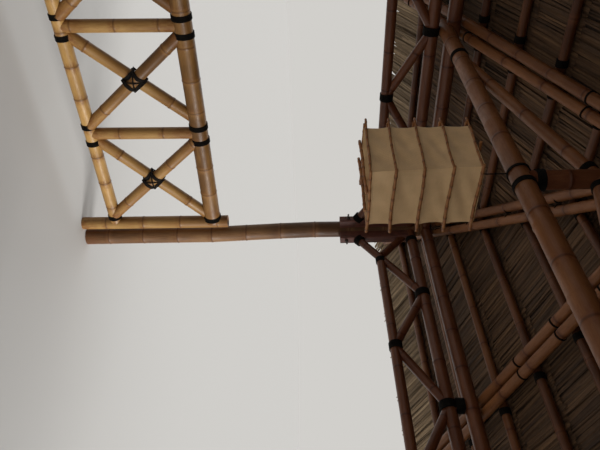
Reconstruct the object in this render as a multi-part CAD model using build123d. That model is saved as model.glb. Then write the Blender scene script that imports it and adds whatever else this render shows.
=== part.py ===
"""A square garden gazebo of lashed bamboo culms under a thatched pyramid roof.

Millimetres, +Z up. The origin is on the ground, in the middle of the plan. +Y points
to the back side, +X to the right side. The back and left sides have a railing, the
front and right sides are open.
"""
from build123d import *
from math import cos, radians, sin, sqrt, tan
import os

# ---------------------------------------------------------------- driving sizes
clearance = 0.3            # gap left in every coped, seated or mitred joint

# plan and corner posts
post_spacing = 2900.0      # between the axes of neighbouring corner posts
post_dia = 105.0
post_saddle = 12.0         # depth of the saddle that takes the wall plates
post_first_ring = 165.0
post_ring_pitch = 245.0
culm_wall = 9.0            # wall of a culm where its open end shows
ring_swell = 2.2           # how far a culm's rings stand out
ring_width = 18.0
ring_room = 75.0           # between a ring and the nearest joint
end_room = 60.0            # between a ring and the culm's end
bore_depth = 70.0          # from an open end to the first diaphragm

# trusses between the posts
chord_dia = 70.0
chord_height = 2305.0      # axis of the upper chord
low_chord_dia = 58.0
truss_depth = 235.0        # between the axes of the two chords
chord_first_ring = 330.0
chord_ring_pitch = 420.0
low_chord_reach = 1152.0   # its end, from the middle of the side
top_node = 810.0           # outer upper joint, from the middle of the side
bottom_node = 402.0        # lower joint, from the middle of the side
brace_dia = 52.0
short_brace_dia = 50.0
short_brace_drop = 75.0    # below the upper chord's axis, at the block
short_brace_foot = 25.0    # along and above the joint on the long brace

# upright blocks beside each post, which carry the chord and take the long brace's thrust
block_tail = 131.0         # below the axis of the long brace, at the block's face
block_round = 10.0
block_depth = 58.0         # out from the side of the post
block_width = 58.0
bolt_dia = 12.0
bolt_height = 52.0         # of the bolts above the block's foot
bolt_spread = 16.0         # between the two bolts that cross in one post
nut_width = 24.0
nut_height = 12.0
bolt_tail = 22.0           # thread that stands out past a nut

# wall plates and the beam across the middle
plate_dia = 80.0
plate_gap = 40.0           # between the upper chord and the plate above it
tie_dia = 80.0
tie_horn = 62.0            # how far the tie beam runs past the wall line
spacer_length = 60.0       # block between chord and plate at mid side
spacer_width = 46.0
king_dia = 74.0
strut_dia = 54.0
strut_foot = 1075.0        # where the strut's axis meets the tie beam's axis
strut_rise = 280.0         # to where it meets the king post's axis
tie_first_ring = 262.0
tie_ring_pitch = 330.0
king_first_ring = 170.0
king_ring_pitch = 260.0

# roof poles
roof_pitch = 20.8          # degrees
rafter_dia = 54.0
rafter_pair = 72.0         # between the axes of a double rafter
rafter_reach = 2065.0      # outer end in plan, from the middle
king_crown = 42.0          # king post above the meeting point of the rafters
purlin_dia = 46.0
first_purlin = 235.0       # in plan, from the middle
purlin_pitch = 290.0
purlin_rows = 7

# thatch
thatch_thick = 52.0
thatch_lift = 14.0         # step at the lower edge of each course
thatch_reach = 2240.0      # eaves line in plan
course_count = 9
hip_cap_width = 150.0      # each wing of the cap over a hip
hip_cap_thick = 14.0
hip_cap_overhang = 8.0     # past the eaves line
peak_cap_size = 560.0      # side of the square cap on the peak
peak_cap_thick = 16.0

# railings
rail_dia = 108.0
rail_height = 918.0        # axis of the top rail
low_rail_dia = 80.0
low_rail_height = 222.0
rail_post_dia = 86.0         # stands against the corner post
rail_post_height = 1023.0
rail_mouth = 22.0          # how deep a rail's end wraps round its post
rail_post_first_ring = 430.0
rail_post_ring_pitch = 260.0
rail_first_ring = 150.0
low_rail_first_ring = 250.0
rail_ring_pitch = 205.0
upright_dia = 74.0
upright_places = (-715.0, -52.0, 634.0)
rail_brace_dia = 72.0
rising_brace_ends = (50.0, 124.0)  # from the uprights' axes to its ends, left and right
falling_brace_ends = (59.0, 110.0)
rail_brace_bite = 56.0     # how far a brace runs on past a rail's face, cut round the rail

# lantern
lantern_size = 252.0       # across the cloth
lantern_place = 48.0       # behind the middle, clear of the king post
lantern_drop = 152.0       # of cord, below the tie beam
lantern_bands = (97.0, 97.0, 98.0, 84.0)  # between the twigs, from the top down
twig_dia = 10.0
twig_overhang = 28.0       # how far each twig runs past one corner
twig_short_end = 10.0      # and past the other
bottom_twig_place = 42.0   # twigs across the open bottom, from the middle
cloth_thick = 1.5
cord_dia = 5.0

# ---------------------------------------------------------------- derived places
half = post_spacing / 2
slope = tan(radians(roof_pitch))
rise = cos(radians(roof_pitch))
tie_height = chord_height + (chord_dia + tie_dia) / 2 + clearance
low_chord_height = chord_height - truss_depth
brace_fall = truss_depth / (low_chord_reach - top_node)
plate_height = chord_height + chord_dia / 2 + plate_gap + plate_dia / 2
post_height = plate_height - plate_dia / 2 + post_saddle
rafter_over_plate = plate_height + ((plate_dia + rafter_dia) / 2 + clearance) / rise
purlin_lift = ((rafter_dia + purlin_dia) / 2 + clearance) / rise
thatch_lift_off = (purlin_dia / 2 + clearance) / rise
hip_drop = slope * rafter_pair / 2 / sqrt(2)
block_face = half - post_dia / 2 - block_depth
block_base = chord_height - brace_fall * (block_face - top_node) - block_tail
block_height = chord_height - block_base
upper_bolt = block_base + bolt_height + bolt_spread / 2
lower_bolt = block_base + bolt_height - bolt_spread / 2
lantern_top = tie_height - tie_dia / 2 - lantern_drop
rail_post_place = half - (post_dia + rail_post_dia) / 2 - ring_swell - clearance
twig_lift = twig_dia + clearance


def rafter_z(distance):
    """Height of a common rafter's axis at a plan distance from the middle."""
    return rafter_over_plate + slope * (half - distance)


def purlin_z(distance):
    return rafter_z(distance) + purlin_lift


def thatch_z(distance):
    """Height of the thatch's underside at a plan distance from the middle."""
    return purlin_z(distance) + thatch_lift_off


# ---------------------------------------------------------------- building blocks
def rod(a, b, dia):
    """A plain round pole between two points."""
    a, b = Vector(*a), Vector(*b)
    return Solid.make_cylinder(dia / 2, (b - a).length, Plane(origin=a, z_dir=(b - a)))


def culm(a, b, dia, nodes=(), swell=ring_swell):
    """A culm with a raised ring at each given distance from its first end."""
    a, b = Vector(*a), Vector(*b)
    length = (b - a).length
    radius = dia / 2
    outline = [(0, 0), (radius, 0)]
    for place in nodes:
        outline += [(radius, place - ring_width / 2), (radius + swell, place),
                    (radius, place + ring_width / 2)]
    outline += [(radius, length), (0, length)]
    half_section = Plane.XZ * make_face(Polyline(*outline, close=True))
    return Plane(origin=a, z_dir=(b - a)) * revolve(half_section, Axis.Z)


def node_places(length, first, spacing, joints=(), room=ring_room):
    """Ring places along a culm, clear of its ends and of the joints on it."""
    count = int((length - first - end_room) // spacing) + 1
    places = [first + spacing * k for k in range(count)]
    return [p for p in places if all(abs(p - joint) > room for joint in joints)]


def grown(a, b, dia, over=post_spacing / 8):
    """The round pocket that a crossing pole needs, longer than the pole."""
    a, b = Vector(*a), Vector(*b)
    run = (b - a).normalized()
    return rod(a - run * over, b + run * over, dia + 2 * clearance)


def largest(shape):
    """What is left of a pole once its coped ends are cut away."""
    return max(shape.solids(), key=lambda solid: solid.volume)


def cope(pole, *pockets):
    """Cut the pockets of the crossing poles out of a pole: fish-mouthed ends."""
    for pocket in pockets:
        pole = pole - pocket
    return largest(pole)


def beyond(point, normal, size=4 * post_spacing):
    """Everything on the far side of a plane, for mitre cuts."""
    return Plane(origin=point, z_dir=normal) * Box(
        size, size, size, align=(Align.CENTER, Align.CENTER, Align.MIN))


def bored(pole, end, inward, dia):
    """Open the hollow of the culm at an end that shows."""
    end, inward = Vector(*end), Vector(*inward).normalized()
    start = end - inward * culm_wall
    return pole - rod(start, end + inward * bore_depth, dia - 2 * culm_wall)


def turned(solids, quarter):
    """Copies of one side's pieces, turned by quarter turns about the middle."""
    return [Rot(0, 0, 90 * quarter) * solid for solid in solids]


def save(name, solids):
    export_step(Compound(label=name, children=list(solids)) if len(solids) > 1
                else solids[0], f"parts/{name}.step")


# quarter turns that carry the back side to each other side
sides = {"back": 0, "left": 1, "front": 2, "right": 3}


# ---------------------------------------------------------------- posts
def plate_axes(quarter):
    """Ends of the wall plate's axis over one side."""
    turn = Rot(0, 0, 90 * quarter)
    return [tuple((turn * Pos(x, half, plate_height)).position)
            for x in (-half, half)]


def corner_post():
    """Back right post, with the saddle for the two plates that cross on it."""
    rings = node_places(post_height, post_first_ring, post_ring_pitch,
                        [block_base + block_height / 2], block_height / 2 + ring_room)
    post = culm((half, half, 0), (half, half, post_height), post_dia, rings)
    return cope(post, grown(*plate_axes(0), plate_dia), grown(*plate_axes(3), plate_dia))


def post_axis():
    return (half, half, 0), (half, half, plate_height)


def post_block(height):
    """Block on the inner side of the back right post, hollowed to fit post and chord."""
    reach = post_dia / 2 + block_depth
    block = Pos(half - reach, half, block_base) * Box(
        reach, block_width, block_height, align=(Align.MIN, Align.CENTER, Align.MIN))
    block = fillet(block.edges().filter_by(Axis.Z).group_by(Axis.X)[0], block_round)
    hole = rod((half - 2 * reach, half, height), (half, half, height),
               bolt_dia + 2 * clearance)
    return cope(block, grown(*post_axis(), post_dia), grown(*chord_axis(), chord_dia), hole)


def post_bolt(height):
    """Threaded rod through block and post, a nut on each end."""
    inner = block_face - clearance
    outer = half + post_dia / 2 + clearance
    shank = rod((inner - nut_height - bolt_tail, half, height),
                (outer + nut_height + bolt_tail, half, height), bolt_dia)
    nut = extrude(Plane.YZ * RegularPolygon(nut_width / 2, 6), nut_height)
    return shank + Pos(inner - nut_height, half, height) * nut + Pos(outer, half, height) * nut


def bolt_channels():
    """Holes for the two bolts that cross in the back right post, one above the other."""
    hole = bolt_dia + 2 * clearance
    return (rod((half - post_dia, half, upper_bolt), (half + post_dia, half, upper_bolt), hole),
            rod((half, half - post_dia, lower_bolt), (half, half + post_dia, lower_bolt), hole))


def mirrored_pair(solid, plane):
    return [solid, mirror(solid, plane)]


# ---------------------------------------------------------------- trusses
def chord_axis():
    return (-half, half, chord_height), (half, half, chord_height)


def low_chord_axis():
    return (-half, half, low_chord_height), (half, half, low_chord_height)


def long_brace_axis():
    """From the outer upper joint through the lower chord's end to the post's axis."""
    return ((top_node, half, chord_height),
            (half, half, chord_height - brace_fall * (half - top_node)))


def upper_chord():
    joints = [half + side * place for place in (0, top_node) for side in (-1, 1)]
    rings = node_places(post_spacing, chord_first_ring, chord_ring_pitch, joints, 2 * ring_room)
    chord = culm(*chord_axis(), chord_dia, rings)
    ends = [grown(*post_axis(), post_dia), mirror(grown(*post_axis(), post_dia), Plane.YZ)]
    return cope(chord, *ends)


def lower_chord():
    chord = rod(*low_chord_axis(), low_chord_dia)
    head, foot = long_brace_axis()
    across = (head[2] - foot[2], 0, foot[0] - head[0])
    mouth = [grown(head, foot, brace_dia), beyond(head, across)]
    return cope(chord, *mouth, *[mirror(cut, Plane.YZ) for cut in mouth])


def zigzag_braces():
    """The two braces of the right half between upper and lower joints."""
    chords = (grown(*chord_axis(), chord_dia), grown(*low_chord_axis(), low_chord_dia))
    braces = []
    for inner, outer in ((0.0, bottom_node), (top_node, bottom_node)):
        axis = ((inner, half, chord_height), (outer, half, low_chord_height))
        brace = rod(*axis, brace_dia)
        low, high = min(inner, outer), max(inner, outer)
        gap = clearance / 2
        braces.append(cope(brace, *chords, beyond((low + gap, half, 0), (-1, 0, 0)),
                           beyond((high - gap, half, 0), (1, 0, 0))))
    return braces


def long_brace():
    """Through brace from the upper joint down to the block beside the post."""
    gap = clearance / 2
    return cope(rod(*long_brace_axis(), brace_dia), grown(*chord_axis(), chord_dia),
                beyond((block_face - clearance, half, 0), (1, 0, 0)),
                beyond((top_node + gap, half, 0), (-1, 0, 0)))


def short_brace():
    """Short stay from the block's head down to the joint on the long brace."""
    foot = Vector(low_chord_reach + short_brace_foot, half,
                  low_chord_height + short_brace_foot / 2)
    head = Vector(block_face, half, chord_height - short_brace_drop)
    top = head + (head - foot).normalized() * short_brace_dia
    return cope(rod(top, foot, short_brace_dia), grown(*chord_axis(), chord_dia),
                beyond((block_face - clearance, half, 0), (1, 0, 0)),
                grown(*long_brace_axis(), brace_dia))


def truss_braces():
    """All eight sticks of the back truss."""
    right = zigzag_braces() + [long_brace(), short_brace()]
    return right + [mirror(stick, Plane.YZ) for stick in right]


# ---------------------------------------------------------------- plates and beams
def tie_axis():
    reach = half + tie_horn
    return (0, -reach, tie_height), (0, reach, tie_height)


def tie_beam():
    """Beam from back to front, saddled under both plates, open ends."""
    a, b = tie_axis()
    middle = half + tie_horn
    seat = strut_foot - 1.2 * ring_room
    joints = [middle, middle - seat, middle + seat]
    rings = node_places(post_spacing, tie_first_ring, tie_ring_pitch, joints, 2 * ring_room)
    beam = culm(a, b, tie_dia, rings)
    beam = cope(beam, grown(*plate_axes(0), plate_dia), grown(*plate_axes(2), plate_dia))
    return bored(bored(beam, a, (0, 1, 0), tie_dia), b, (0, -1, 0), tie_dia)


def wall_plate():
    """Plate over the back side, mitred on the corner posts."""
    gap = clearance
    return cope(rod((-half - plate_dia, half, plate_height), (half + plate_dia, half, plate_height),
                    plate_dia),
                beyond((half - gap, half, plate_height), (1, -1, 0)),
                beyond((gap - half, half, plate_height), (-1, -1, 0)))


def plate_spacer():
    """Block between upper chord and plate, in the middle of the right side."""
    block = Pos(half, 0, chord_height) * Box(
        spacer_width, spacer_length, plate_height - chord_height,
        align=(Align.CENTER, Align.CENTER, Align.MIN))
    chord = grown((half, -half, chord_height), (half, half, chord_height), chord_dia)
    plate = grown((half, -half, plate_height), (half, half, plate_height), plate_dia)
    return cope(block, chord, plate)


def king_axis():
    return (0, 0, tie_height), (0, 0, rafter_z(0) + king_crown)


def king_post():
    a, b = king_axis()
    post = culm(a, b, king_dia, [king_first_ring, king_first_ring + king_ring_pitch])
    return cope(post, grown(*tie_axis(), tie_dia))


def strut():
    """Raking strut from the tie beam up to the king post, back half."""
    pole = rod((0, strut_foot, tie_height), (0, 0, tie_height + strut_rise), strut_dia)
    return cope(pole, grown(*tie_axis(), tie_dia), grown(*king_axis(), king_dia))


# ---------------------------------------------------------------- rafters
def hip_axis(side):
    """Axis of one pole of the back right hip; side is +1 or -1 of the diagonal."""
    off = side * rafter_pair / 2 / sqrt(2)
    return ((off, -off, rafter_z(0) - hip_drop),
            (rafter_reach + off, rafter_reach - off, rafter_z(rafter_reach) - hip_drop))


def hip_pair():
    """Double rafter over the back right corner, coped on the king post."""
    poles = []
    for side in (1, -1):
        a, b = hip_axis(side)
        gap = clearance / 2
        mitre = beyond((0, gap, 0), (0, -1, 0)) if side > 0 else beyond((gap, 0, 0), (-1, 0, 0))
        pole = cope(rod(a, b, rafter_dia), grown(*king_axis(), king_dia), mitre)
        inward = Vector(*a) - Vector(*b)
        poles.append(bored(pole, b, tuple(inward), rafter_dia))
    return poles


def common_pair():
    """Double rafter over the middle of the back side, coped on the hips."""
    hips = [grown(*hip_axis(side), rafter_dia, rafter_pair) for side in (1, -1)]
    hips += [mirror(hip, Plane.YZ) for hip in hips]
    poles = []
    for side in (1, -1):
        x = side * rafter_pair / 2
        a = (x, 0, rafter_z(0))
        b = (x, rafter_reach, rafter_z(rafter_reach))
        pole = cope(rod(a, b, rafter_dia), grown(*king_axis(), king_dia), *hips,
                    beyond((0, king_dia, 0), (0, -1, 0)))
        poles.append(bored(pole, b, (0, -1, slope), rafter_dia))
    return poles


def purlins():
    """The rows of one side, mitred over the hips."""
    rows = []
    for k in range(purlin_rows):
        d = first_purlin + k * purlin_pitch
        z = purlin_z(d)
        gap = clearance
        pole = rod((-d - purlin_dia, d, z), (d + purlin_dia, d, z), purlin_dia)
        rows.append(cope(pole, beyond((d - gap, d, z), (1, -1, 0)),
                         beyond((-d + gap, d, z), (-1, -1, 0))))
    return rows


# ---------------------------------------------------------------- thatch
def thatch_panel():
    """One side of the roof: courses that step down to the eaves, mitred at the hips."""
    thick = thatch_thick / rise
    step = thatch_lift / rise
    run = thatch_reach / course_count
    top = [(0.0, thatch_z(0) + thick)]
    for k in range(1, course_count + 1):
        d = k * run
        top.append((d, thatch_z(d) + thick + step))
        if k < course_count:
            top.append((d, thatch_z(d) + thick))
    outline = top + [(thatch_reach, thatch_z(thatch_reach)), (0.0, thatch_z(0))]
    section = Plane.YZ * make_face(Polyline(*outline, close=True))
    panel = extrude(section, 1.1 * thatch_reach, both=True)
    gap = clearance
    return cope(panel, beyond((0, gap, 0), (1, -1, 0)), beyond((0, gap, 0), (-1, -1, 0)))


def hip_cap():
    """Folded cap along the back right hip, on top of the courses."""
    lift = (thatch_thick + thatch_lift + clearance) / rise
    head = Vector(0, 0, thatch_z(0) + lift)
    foot = Vector(thatch_reach, thatch_reach, thatch_z(thatch_reach) + lift)
    run = (foot - head).normalized()
    pitch = radians(roof_pitch)
    ridge_right = Vector(sin(pitch), 0, cos(pitch))
    ridge_back = Vector(0, sin(pitch), cos(pitch))
    wing_right = run.cross(ridge_right).normalized() * hip_cap_width
    wing_back = ridge_back.cross(run).normalized() * hip_cap_width
    up = (ridge_right + ridge_back).normalized()
    crown = up * (hip_cap_thick / up.dot(ridge_right))
    start = head + run * hip_cap_width
    outline = [start + wing_right, start, start + wing_back,
               start + wing_back + ridge_back * hip_cap_thick, start + crown,
               start + wing_right + ridge_right * hip_cap_thick]
    face = Face(Wire.make_polygon([tuple(p) for p in outline], close=True))
    cap = Solid.extrude(face, run * ((foot - start).length + hip_cap_width))
    eaves = thatch_reach + hip_cap_overhang
    return cope(cap, beyond((eaves, 0, 0), (1, 0, 0)), beyond((0, eaves, 0), (0, 1, 0)))


def pyramid(size, height):
    """Shallow four-sided pyramid, apex up, base centred at the origin."""
    block = Box(size, size, height, align=(Align.CENTER, Align.CENTER, Align.MIN))
    slant = [beyond((size / 2, 0, 0), (height, 0, size / 2))]
    return cope(block, *[cut for quarter in range(4) for cut in turned(slant, quarter)])


def peak_cap():
    """Square folded cap on the peak, over the heads of the hip caps."""
    lift = (thatch_thick + thatch_lift + hip_cap_thick + 3 * clearance) / rise
    peak = thatch_z(0) + lift + peak_cap_thick / rise
    fall = slope * peak_cap_size / 2
    shell = pyramid(peak_cap_size, fall)
    hollow = Pos(0, 0, -peak_cap_thick / rise) * pyramid(peak_cap_size, fall)
    return Pos(0, 0, peak - fall) * largest(shell - hollow)


# ---------------------------------------------------------------- railing
def top_rail_axis():
    return (-rail_post_place, half, rail_height), (rail_post_place, half, rail_height)


def low_rail_axis():
    return (-rail_post_place, half, low_rail_height), (rail_post_place, half, low_rail_height)


def upright_axis(x):
    return (x, half, low_rail_height), (x, half, rail_height)


def railing_post(x):
    """Short post beside a corner post; its hollow top is open."""
    rings = [rail_post_first_ring, rail_post_first_ring + rail_post_ring_pitch]
    post = culm((x, half, 0), (x, half, rail_post_height), rail_post_dia, rings)
    return bored(post, (x, half, rail_post_height), (0, 0, -1), rail_post_dia)


def railing_bays():
    stops = [-rail_post_place, *upright_places, rail_post_place]
    return zip(stops[:-1], stops[1:])


def brace_feet(top):
    """Where the braces stand on the top or the bottom rail, along the side."""
    starts, stops = ((falling_brace_ends, rising_brace_ends) if top
                     else (rising_brace_ends, falling_brace_ends))
    return [foot for left, right in railing_bays()
            for foot in (left + starts[0], right - stops[1])]


def railing_rail(height, dia, first_ring, feet):
    """Rail between the two railing posts, its ends hollowed to wrap round them."""
    reach = rail_post_place - rail_mouth
    posts = [grown((x, half, 0), (x, half, rail_post_height), rail_post_dia)
             for x in (-rail_post_place, rail_post_place)]
    joints = [0, 2 * reach] + [reach + x for x in upright_places]
    rings = [ring for ring in node_places(2 * reach, first_ring, rail_ring_pitch, joints,
                                          1.6 * ring_room)
             if all(abs(ring - reach - foot) > ring_room for foot in feet)]
    return cope(culm((-reach, half, height), (reach, half, height), dia, rings), *posts)


def railing_upright(x):
    return cope(rod(*upright_axis(x), upright_dia), grown(*top_rail_axis(), rail_dia),
                grown(*low_rail_axis(), low_rail_dia))


def railing_brace_axis(left, right, rising):
    """Ends of a diagonal between two uprights, run on into both rails."""
    ends = rising_brace_ends if rising else falling_brace_ends
    low, high = low_rail_height + low_rail_dia / 2, rail_height - rail_dia / 2
    y = half + (1 if rising else -1) * rail_brace_dia / 4
    a = Vector(left + ends[0], y, low if rising else high)
    b = Vector(right - ends[1], y, high if rising else low)
    run = (b - a).normalized() * rail_brace_bite
    return a - run, b + run


def railing_braces(rising):
    """One diagonal in every bay; a rising one is notched over the falling one inside it."""
    cuts = [grown(*top_rail_axis(), rail_dia), grown(*low_rail_axis(), low_rail_dia)]
    cuts += [grown((x, half, 0), (x, half, rail_height), upright_dia) for x in upright_places]
    cuts += [grown((x, half, 0), (x, half, rail_height), rail_post_dia)
             for x in (-rail_post_place, rail_post_place)]
    braces = []
    for left, right in railing_bays():
        notch = [grown(*railing_brace_axis(left, right, False), rail_brace_dia)] if rising else []
        braces.append(cope(rod(*railing_brace_axis(left, right, rising), rail_brace_dia),
                           *cuts, *notch))
    return braces


def railing(side):
    quarter = sides[side]
    save(f"top_rail_{side}", turned([railing_rail(rail_height, rail_dia, rail_first_ring, brace_feet(True))],
                quarter))
    save(f"bottom_rail_{side}",
         turned([railing_rail(low_rail_height, low_rail_dia, low_rail_first_ring,
                              brace_feet(False))], quarter))
    save(f"railing_posts_{side}",
         turned([railing_post(-rail_post_place), railing_post(rail_post_place)], quarter))
    save(f"railing_uprights_{side}",
         turned([railing_upright(x) for x in upright_places], quarter))
    save(f"railing_braces_rising_{side}", turned(railing_braces(True), quarter))
    save(f"railing_braces_falling_{side}", turned(railing_braces(False), quarter))


# ---------------------------------------------------------------- lantern
def twig_levels():
    """Heights of the twigs along X, from the top down."""
    return [lantern_top - sum(lantern_bands[:k]) for k in range(len(lantern_bands) + 1)]


def lantern_frame():
    """Twigs laid log-cabin fashion outside the cloth, one across the top, two below."""
    start = -lantern_size / 2 - twig_short_end
    end = lantern_size / 2 + twig_overhang
    side = lantern_size / 2 + clearance + twig_dia / 2
    lift = twig_lift
    twigs = []
    for z in twig_levels():
        for s in (-side, side):
            twigs.append(rod((start, s, z), (end, s, z), twig_dia))
            twigs.append(rod((s, start, z + lift), (s, end, z + lift), twig_dia))
    top, bottom = twig_levels()[0], twig_levels()[-1]
    twigs.append(rod((start, 0, top + 2 * lift), (end, 0, top + 2 * lift), twig_dia))
    for s in (-bottom_twig_place, bottom_twig_place):
        twigs.append(rod((s, start, bottom - lift), (s, end, bottom - lift), twig_dia))
    return twigs


def lantern_cloth():
    """Four cloth panels inside the twigs, from the lowest to the highest."""
    base, top = twig_levels()[-1] - twig_dia / 4, twig_levels()[0] + twig_lift
    outer = lantern_size / 2
    panel = Pos(0, outer - cloth_thick / 2, (base + top) / 2) * Box(
        lantern_size - 2 * cloth_thick - 2 * clearance, cloth_thick, top - base)
    return [Rot(0, 0, 90 * quarter) * panel for quarter in range(4)]


def lantern_cord():
    """Taut cord from a loop round the tie beam to the crossed twig on top."""
    loop = rod((0, -cord_dia, tie_height), (0, cord_dia, tie_height), tie_dia + 2 * cord_dia)
    loop -= rod((0, -tie_dia, tie_height), (0, tie_dia, tie_height), tie_dia + 2 * clearance)
    top_twig = twig_levels()[0] + 2 * twig_lift + twig_dia / 2 + clearance
    drop = rod((0, 0, top_twig), (0, 0, tie_height - tie_dia / 2 - cord_dia / 2), cord_dia)
    return loop + drop


# ---------------------------------------------------------------- the gazebo
def main():
    os.makedirs("parts", exist_ok=True)

    post = cope(corner_post(), *bolt_channels())
    corners = (("back_right", 0), ("back_left", 1), ("front_left", 2), ("front_right", 3))
    for corner, quarter in corners:
        save(f"corner_post_{corner}", turned([post], quarter))

    diagonal = Plane(origin=(0, 0, 0), z_dir=(1, -1, 0))
    blocks = [post_block(upper_bolt), mirror(post_block(lower_bolt), diagonal)]
    bolts = [post_bolt(upper_bolt), mirror(post_bolt(lower_bolt), diagonal)]
    save("post_blocks", [piece for q in range(4) for piece in turned(blocks, q)])
    save("block_bolts", [piece for q in range(4) for piece in turned(bolts, q)])

    upper, lower, braces = upper_chord(), lower_chord(), truss_braces()
    rows, panel = purlins(), thatch_panel()
    for side, quarter in sides.items():
        save(f"upper_chord_{side}", turned([upper], quarter))
        save(f"lower_chord_{side}", turned([lower], quarter))
        save(f"truss_braces_{side}", turned(braces, quarter))
        save(f"purlins_{side}", turned(rows, quarter))
        save(f"thatch_{side}", turned([panel], quarter))

    plate = wall_plate()
    save("wall_plates", [piece for q in range(4) for piece in turned([plate], q)])
    save("plate_spacers", mirrored_pair(plate_spacer(), Plane.YZ))
    save("tie_beam", [tie_beam()])
    save("king_post", [king_post()])
    save("king_post_struts", mirrored_pair(strut(), Plane.XZ))
    hips, commons, cap = hip_pair(), common_pair(), hip_cap()
    save("hip_rafters", [pole for q in range(4) for pole in turned(hips, q)])
    save("common_rafters", [pole for q in range(4) for pole in turned(commons, q)])
    save("hip_caps", [piece for q in range(4) for piece in turned([cap], q)])
    save("peak_cap", [peak_cap()])

    for side in ("back", "left"):
        railing(side)

    hung = Pos(0, lantern_place, 0)
    save("lantern_frame", [hung * twig for twig in lantern_frame()])
    save("lantern_cloth", [hung * panel for panel in lantern_cloth()])
    save("lantern_cord", [hung * lantern_cord()])


main()
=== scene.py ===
"""Looks of a bamboo garden gazebo: culms, black rope lashings, leaf thatch and a cloth lantern.

Metres, +Z up. The origin is on the ground in the middle of the plan, +Y points to the back
side and +X to the right side, as in the solid model that the script loads.
"""
import math
import random
from contextlib import contextmanager
from functools import cache

import bpy
import numpy as np
from bpy.props import FloatProperty, FloatVectorProperty, IntProperty, PointerProperty
from mathutils import Matrix, Vector


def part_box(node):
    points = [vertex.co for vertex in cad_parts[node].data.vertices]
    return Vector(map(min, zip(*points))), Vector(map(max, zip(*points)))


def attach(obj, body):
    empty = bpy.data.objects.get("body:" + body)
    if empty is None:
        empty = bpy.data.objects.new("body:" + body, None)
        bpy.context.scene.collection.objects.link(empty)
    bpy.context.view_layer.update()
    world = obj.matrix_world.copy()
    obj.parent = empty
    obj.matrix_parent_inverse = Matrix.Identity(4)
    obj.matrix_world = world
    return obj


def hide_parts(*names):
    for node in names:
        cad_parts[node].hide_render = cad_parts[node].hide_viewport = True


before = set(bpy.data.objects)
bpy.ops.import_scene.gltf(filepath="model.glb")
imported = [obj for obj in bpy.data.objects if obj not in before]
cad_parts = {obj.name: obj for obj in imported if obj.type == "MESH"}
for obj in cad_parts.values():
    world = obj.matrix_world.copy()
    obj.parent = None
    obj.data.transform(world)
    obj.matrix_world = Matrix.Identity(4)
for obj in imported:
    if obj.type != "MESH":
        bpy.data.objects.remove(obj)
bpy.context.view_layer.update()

bl_info = {
    "name": "Bamboo garden gazebo",
    "blender": (4, 5, 0),
    "version": (1, 0, 0),
    "location": "View3D > Sidebar > Gazebo",
    "description": "Dresses a solid model of a lashed bamboo gazebo",
    "category": "Object",
}

SIDES = {"back": 0, "left": 1, "front": 2, "right": 3}
CORNERS = ("back_right", "back_left", "front_left", "front_right")
RAILED = ("back", "left")

# how far the rings of a solid culm stand out at its nodes
RING = 0.0022
# where the back side's truss braces meet the upper and the lower chord, and where the lines
# of the long braces reach the lower chord's height, from the middle
UPPER_JOINT, LOWER_JOINT, BRACE_TOE = 0.81, 0.402, 1.152
# how far inside the posts' axes the inner faces of the post blocks lie
BLOCK_FACE = 0.110
# rise of a raking strut, its run, and how far its foot stands from the middle
STRUT_RISE, STRUT_RUN, STRUT_FOOT = 0.280, 1.075, 1.087
# uprights of the back railing, and the radius of a railing's end post
UPRIGHTS = (-0.715, -0.052, 0.634)
RAIL_POST = 0.043
# heights, and how far the railing's upright culms lean at them
LEANING = {"railing_posts_": ((0.0, 1.02), (-0.026, -0.013)),
           "railing_uprights_": ((0.2, 0.95), (-0.032, -0.016))}
# how much higher than in the solids the bottom rails sit
LOW_LIFT = 0.015
# how far the axes of the railing braces lie outside the rails' axes, and the sideways step
# that keeps them in line with the solids for an eye under the roof
BRACE_DEPTHS = {"falling": -0.008, "rising": 0.012}
SIGHT = 0.7
# how far the feet and the tops of the braces stand beside the solids', bay by bay
BRACE_SLIPS = {"rising": ((-0.010, 0.010), (-0.014, 0.0), (-0.024, -0.022), (-0.027, 0.028)),
               "falling": ((0.0, 0.0), (0.004, 0.0), (0.0, 0.0), (-0.014, 0.0))}
# thickness of the thatch
THICK = 0.052
# how far the lantern is turned, in degrees, and twisted from the middle to either end, and
# how much wider and taller it hangs than the solids
LANTERN_TURN, LANTERN_TWIST = 4.2, 1.6
LANTERN_WIDER, LANTERN_TALLER = 1.048, 1.03
# for each culm colour its rind's name, roughness, strength of fibres and of stains, sheen
RINDS = {"post": ("weathered_bamboo_rind", 0.46, 0.45, 0.9, 0.3),
         "truss": ("smoked_bamboo_rind", 0.34, 0.3, 0.7, 0.3),
         "rafter": ("roof_bamboo_rind", 0.42, 0.35, 0.7, 0.3),
         "rail": ("golden_bamboo_rind", 0.42, 0.34, 0.9, 0.32),
         "twig": ("thin_bamboo_twig", 0.5, 0.3, 1.0, 0.4)}


def linear(code):
    """The linear colour of an sRGB hex value."""
    values = [int(code[k:k + 2], 16) / 255 for k in (1, 3, 5)]
    return [v / 12.92 if v <= 0.04045 else ((v + 0.055) / 1.055) ** 2.4 for v in values]


def middle(node):
    """Centre of a solid node's box."""
    low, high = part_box(node)
    return (low + high) / 2


def colour(label, code):
    return FloatVectorProperty(name=label, description=f"Main tone of the {label.lower()}",
                               subtype="COLOR", size=3, min=0, max=1, default=linear(code))


def length(label, description, default):
    return FloatProperty(name=label, description=description, default=default, min=0,
                         unit="LENGTH", precision=4)


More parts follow.
